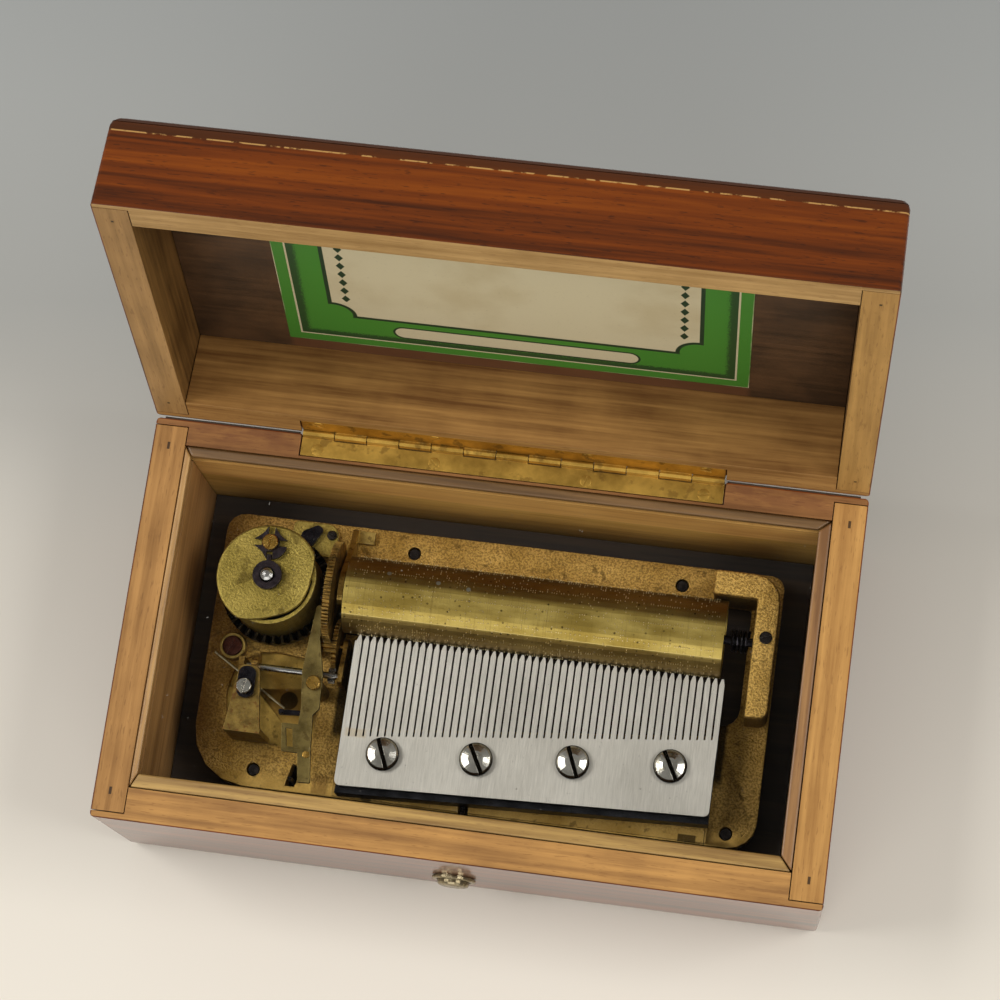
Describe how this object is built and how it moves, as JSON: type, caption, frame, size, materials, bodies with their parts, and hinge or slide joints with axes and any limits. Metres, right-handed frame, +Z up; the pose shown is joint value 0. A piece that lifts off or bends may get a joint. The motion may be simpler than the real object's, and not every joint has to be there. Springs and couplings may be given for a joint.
{
  "type": "music box",
  "caption": "Wooden cylinder music box with hinged lid, glass inner cover, comb, pinned cylinder, spring barrel, governor, start button and winding key.",
  "frame": {"origin": "centre of the bounding box on the ground, with the lid standing open", "axes": "+X to the right seen from the front along the box's length, -Y to the front with the start button, +Z up"},
  "size_m": [0.155, 0.1288, 0.1305],
  "materials": {
    "body_lacquer": "dark glossy brown lacquer with a raw tan rim",
    "base_board": "bare board",
    "bead_wood": "satin tan wood",
    "cover_glass": "clear glass",
    "lid_lacquer": "glossy reddish brown lacquer with dark streaks",
    "label_paper": "aged printed paper",
    "hinge_metal": "tarnished brass plate",
    "bedplate_gold": "grainy gold finish on cast metal",
    "comb_steel": "satin brushed steel",
    "screw_nickel": "polished nickel",
    "screw_dark": "darkened steel",
    "cylinder_brass": "brass with fine steel pins",
    "wheel_brass": "aged brass",
    "barrel_brass": "olive brass with sand-like grain",
    "cock_brass": "tarnished reddish brass",
    "arbor_steel": "polished steel",
    "blued_steel": "blackened steel",
    "key_steel": "plated steel"
  },
  "bodies": {
    "case": {"front_board": "body_lacquer", "back_board": "body_lacquer", "left_board": "body_lacquer", "right_board": "body_lacquer", "bottom_panel": "base_board", "bead_front": "bead_wood", "bead_right": "bead_wood", "bead_back": "bead_wood", "bead_left": "bead_wood", "glass_pane": "cover_glass", "hinge_case_leaf": "hinge_metal", "hinge_pin": "hinge_metal", "bedplate": "bedplate_gold", "foot_screw_1": "screw_dark", "foot_screw_2": "screw_dark", "foot_screw_3": "screw_dark", "foot_screw_4": "screw_dark", "comb": "comb_steel", "comb_base": "comb_steel", "comb_screw_1": "screw_nickel", "comb_screw_2": "screw_nickel", "comb_screw_3": "screw_nickel", "comb_screw_4": "screw_nickel", "governor_cock": "cock_brass", "cap_plate": "blued_steel", "cock_screw": "wheel_brass", "arbor_bracket": "wheel_brass", "train_bracket": "wheel_brass", "click_plate": "wheel_brass", "lever_screw": "wheel_brass", "button_flange": "screw_nickel"},
    "lid": {"lid_front_board": "lid_lacquer", "lid_back_board": "lid_lacquer", "lid_left_board": "lid_lacquer", "lid_right_board": "lid_lacquer", "lid_top_panel": "lid_lacquer", "lid_label": "label_paper", "hinge_lid_leaf": "hinge_metal"},
    "winder": {"barrel_arbor": "blued_steel", "winding_key": "key_steel"},
    "barrel": {"barrel_drum": "barrel_brass", "crown_wheel": "barrel_brass", "barrel_cover": "barrel_brass", "mainspring": "blued_steel", "geneva_cross": "blued_steel", "geneva_screw": "wheel_brass", "stop_finger": "blued_steel"},
    "cylinder_shaft": {"cylinder_arbor": "arbor_steel", "great_wheel": "wheel_brass", "arbor_spring": "arbor_steel"},
    "cylinder": {"cylinder": "cylinder_brass"},
    "train": {"train_arbor": "arbor_steel"},
    "governor": {"governor_arbor": "arbor_steel", "worm_wheel": "wheel_brass"},
    "fly": {"worm_and_fly": "arbor_steel"},
    "click": {"click": "blued_steel"},
    "stop": {"stop_lever": "wheel_brass", "detent": "blued_steel"},
    "start": {"push_button": "screw_nickel", "push_rod": "blued_steel"}
  },
  "joints": [
    {"name": "lid_hinge", "type": "hinge", "parent": "case", "child": "lid", "pos_m": [0, 0.02608, 0.04415], "axis": [1, 0, 0], "range_deg": [0, 101.9]},
    {"name": "winder_turn", "type": "hinge", "parent": "case", "child": "winder", "pos_m": [-0.0491, -0.00492, 0.0213], "axis": [0, 0, 1], "continuous": true},
    {"name": "cylinder_turn", "type": "hinge", "parent": "case", "child": "cylinder_shaft", "pos_m": [0, -0.00492, 0.0275], "axis": [1, 0, 0], "continuous": true},
    {"name": "cylinder_shift", "type": "slide", "parent": "cylinder_shaft", "child": "cylinder", "axis": [1, 0, 0], "range_m": [0, 0.0007], "stiffness_N_per_m": 200, "springref_m": -0.004},
    {"name": "barrel_turn", "type": "hinge", "parent": "case", "child": "barrel", "pos_m": [-0.0491, -0.00492, 0.0213], "axis": [0, 0, 1], "continuous": true},
    {"name": "train_turn", "type": "hinge", "parent": "case", "child": "train", "pos_m": [-0.03645, -0.01589, 0.0224], "axis": [1, 0, 0], "continuous": true},
    {"name": "governor_turn", "type": "hinge", "parent": "case", "child": "governor", "pos_m": [-0.03645, -0.02282, 0.0244], "axis": [1, 0, 0], "continuous": true},
    {"name": "fly_turn", "type": "hinge", "parent": "case", "child": "fly", "pos_m": [-0.0508, -0.02687, 0.0299], "axis": [0, 0, 1], "continuous": true},
    {"name": "click_turn", "type": "hinge", "parent": "case", "child": "click", "pos_m": [-0.0443, 0.00808, 0.0199], "axis": [0, 0, -1], "range_deg": [0, 8], "stiffness_Nm_per_rad": 0.0005, "springref_deg": -17.19},
    {"name": "start_push", "type": "slide", "parent": "case", "child": "start", "axis": [0, 1, 0], "range_m": [0, 0.002], "stiffness_N_per_m": 300, "springref_m": -0.002},
    {"name": "stop_turn", "type": "hinge", "parent": "case", "child": "stop", "pos_m": [-0.0364, -0.02622, 0.031], "axis": [0, 0, 1], "range_deg": [0, 3.6]}
  ],
  "couplings": [
    {"joint": "barrel_turn", "follows": "cylinder_turn", "ratio": 0.33333},
    {"joint": "train_turn", "follows": "cylinder_turn", "ratio": -10},
    {"joint": "governor_turn", "follows": "cylinder_turn", "ratio": 40},
    {"joint": "fly_turn", "follows": "cylinder_turn", "ratio": 640},
    {"joint": "stop_turn", "follows": "start_push", "rad_per_m": 30}
  ]
}
